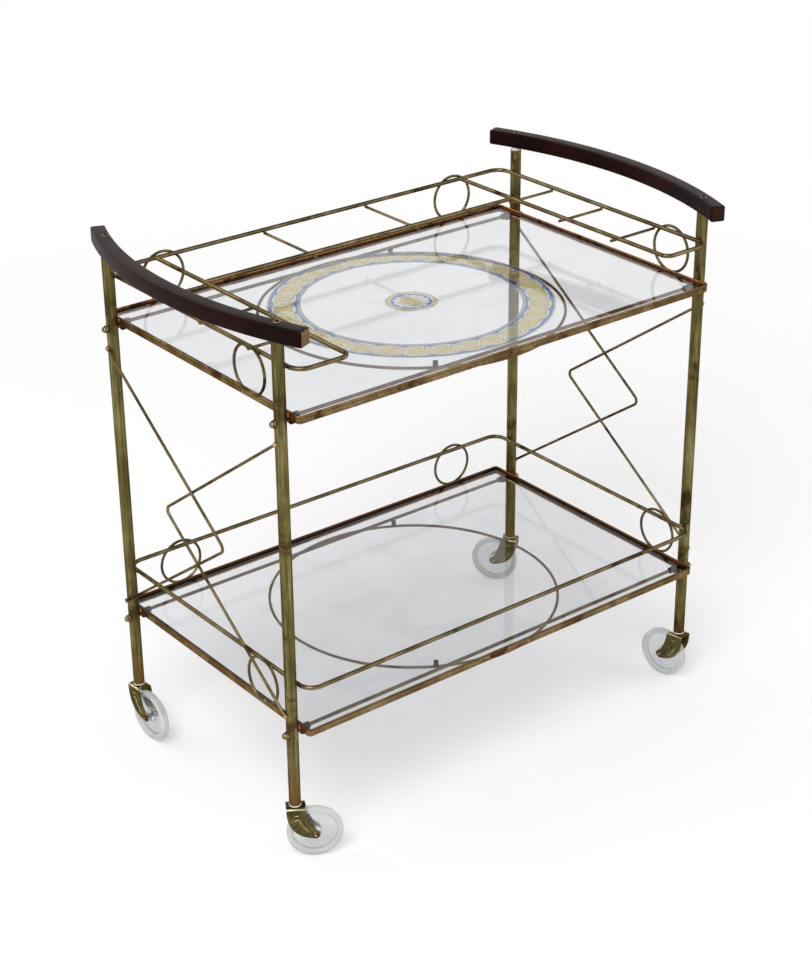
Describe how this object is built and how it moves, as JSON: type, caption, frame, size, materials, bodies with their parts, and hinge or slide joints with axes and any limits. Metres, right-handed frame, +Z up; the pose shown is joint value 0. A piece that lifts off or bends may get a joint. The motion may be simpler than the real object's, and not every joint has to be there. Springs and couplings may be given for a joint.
{
  "type": "bar cart",
  "caption": "Bar cart with brass tube legs, glass trays, wire galleries, bowed wooden handles and swivel casters.",
  "frame": {"origin": "on the floor under the middle of the cart between its legs; the casters reach further back than the handles reach forward, so the bounding box has its centre 5 mm behind it", "axes": "+X along the long side towards the right handle, +Y from front to back, +Z up"},
  "size_m": [0.802, 0.4889, 0.7709],
  "materials": {
    "brass_tube": "worn satin",
    "brass_wire": "worn satin",
    "tray_rail": "tarnished",
    "dark_wood": "lacquered",
    "clear_glass": "clear",
    "white_plastic": "matte",
    "clear_plastic": "clear, slightly clouded",
    "black_rubber": "matte",
    "fork_brass": "tarnished",
    "bronzed_screws": "dull"
  },
  "bodies": {
    "cart_frame": {"leg_front_left": "brass_tube", "leg_front_right": "brass_tube", "leg_back_left": "brass_tube", "leg_back_right": "brass_tube", "leg_plugs": "white_plastic", "handle_left": "dark_wood", "handle_right": "dark_wood", "handle_screws": "bronzed_screws", "upper_tray_frame": "tray_rail", "lower_tray_frame": "tray_rail", "upper_glass": "clear_glass", "lower_glass": "clear_glass", "upper_front_rod": "tray_rail", "upper_back_rod": "tray_rail", "lower_front_rod": "tray_rail", "lower_back_rod": "tray_rail", "dome_nuts": "brass_wire", "upper_ring": "tray_rail", "lower_ring": "tray_rail", "upper_glass_pads": "black_rubber", "lower_glass_pads": "black_rubber", "upper_gallery_wire": "brass_wire", "upper_inner_wire": "brass_wire", "upper_gallery_links": "brass_wire", "lower_gallery_wire": "brass_wire", "upper_loop_back_left": "brass_wire", "upper_loop_back_right": "brass_wire", "upper_loop_left": "brass_wire", "upper_loop_right": "brass_wire", "lower_loop_back_left": "brass_wire", "lower_loop_back_right": "brass_wire", "lower_loop_left": "brass_wire", "lower_loop_right": "brass_wire", "left_brace_front": "brass_wire", "left_brace_back": "brass_wire", "right_brace_front": "brass_wire", "right_brace_back": "brass_wire", "caster_bushings": "white_plastic"},
    "front_left_swivel": {"front_left_fork": "fork_brass", "front_left_stem": "bronzed_screws", "front_left_axle": "bronzed_screws"},
    "front_left_roller": {"front_left_wheel": "clear_plastic"},
    "front_right_swivel": {"front_right_fork": "fork_brass", "front_right_stem": "bronzed_screws", "front_right_axle": "bronzed_screws"},
    "front_right_roller": {"front_right_wheel": "clear_plastic"},
    "back_left_swivel": {"back_left_fork": "fork_brass", "back_left_stem": "bronzed_screws", "back_left_axle": "bronzed_screws"},
    "back_left_roller": {"back_left_wheel": "clear_plastic"},
    "back_right_swivel": {"back_right_fork": "fork_brass", "back_right_stem": "bronzed_screws", "back_right_axle": "bronzed_screws"},
    "back_right_roller": {"back_right_wheel": "clear_plastic"}
  },
  "joints": [
    {"name": "front_left_swivel_turn", "type": "hinge", "parent": "cart_frame", "child": "front_left_swivel", "pos_m": [-0.356, -0.195, 0.0835], "axis": [0, 0, 1], "continuous": true},
    {"name": "front_left_wheel_roll", "type": "hinge", "parent": "front_left_swivel", "child": "front_left_roller", "pos_m": [-0.33437, -0.20851, 0.038], "axis": [0.5299, 0.848, 0], "continuous": true},
    {"name": "front_right_swivel_turn", "type": "hinge", "parent": "cart_frame", "child": "front_right_swivel", "pos_m": [0.356, -0.195, 0.0835], "axis": [0, 0, 1], "continuous": true},
    {"name": "front_right_wheel_roll", "type": "hinge", "parent": "front_right_swivel", "child": "front_right_roller", "pos_m": [0.35157, -0.16989, 0.038], "axis": [-0.9848, -0.1736, 0], "continuous": true},
    {"name": "back_left_swivel_turn", "type": "hinge", "parent": "cart_frame", "child": "back_left_swivel", "pos_m": [-0.356, 0.195, 0.0835], "axis": [0, 0, 1], "continuous": true},
    {"name": "back_left_wheel_roll", "type": "hinge", "parent": "back_left_swivel", "child": "back_left_roller", "pos_m": [-0.35422, 0.16956, 0.038], "axis": [0.9976, 0.0698, 0], "continuous": true},
    {"name": "back_right_swivel_turn", "type": "hinge", "parent": "cart_frame", "child": "back_right_swivel", "pos_m": [0.356, 0.195, 0.0835], "axis": [0, 0, 1], "continuous": true},
    {"name": "back_right_wheel_roll", "type": "hinge", "parent": "back_right_swivel", "child": "back_right_roller", "pos_m": [0.34137, 0.21589, 0.038], "axis": [-0.8192, -0.5736, 0], "continuous": true}
  ]
}
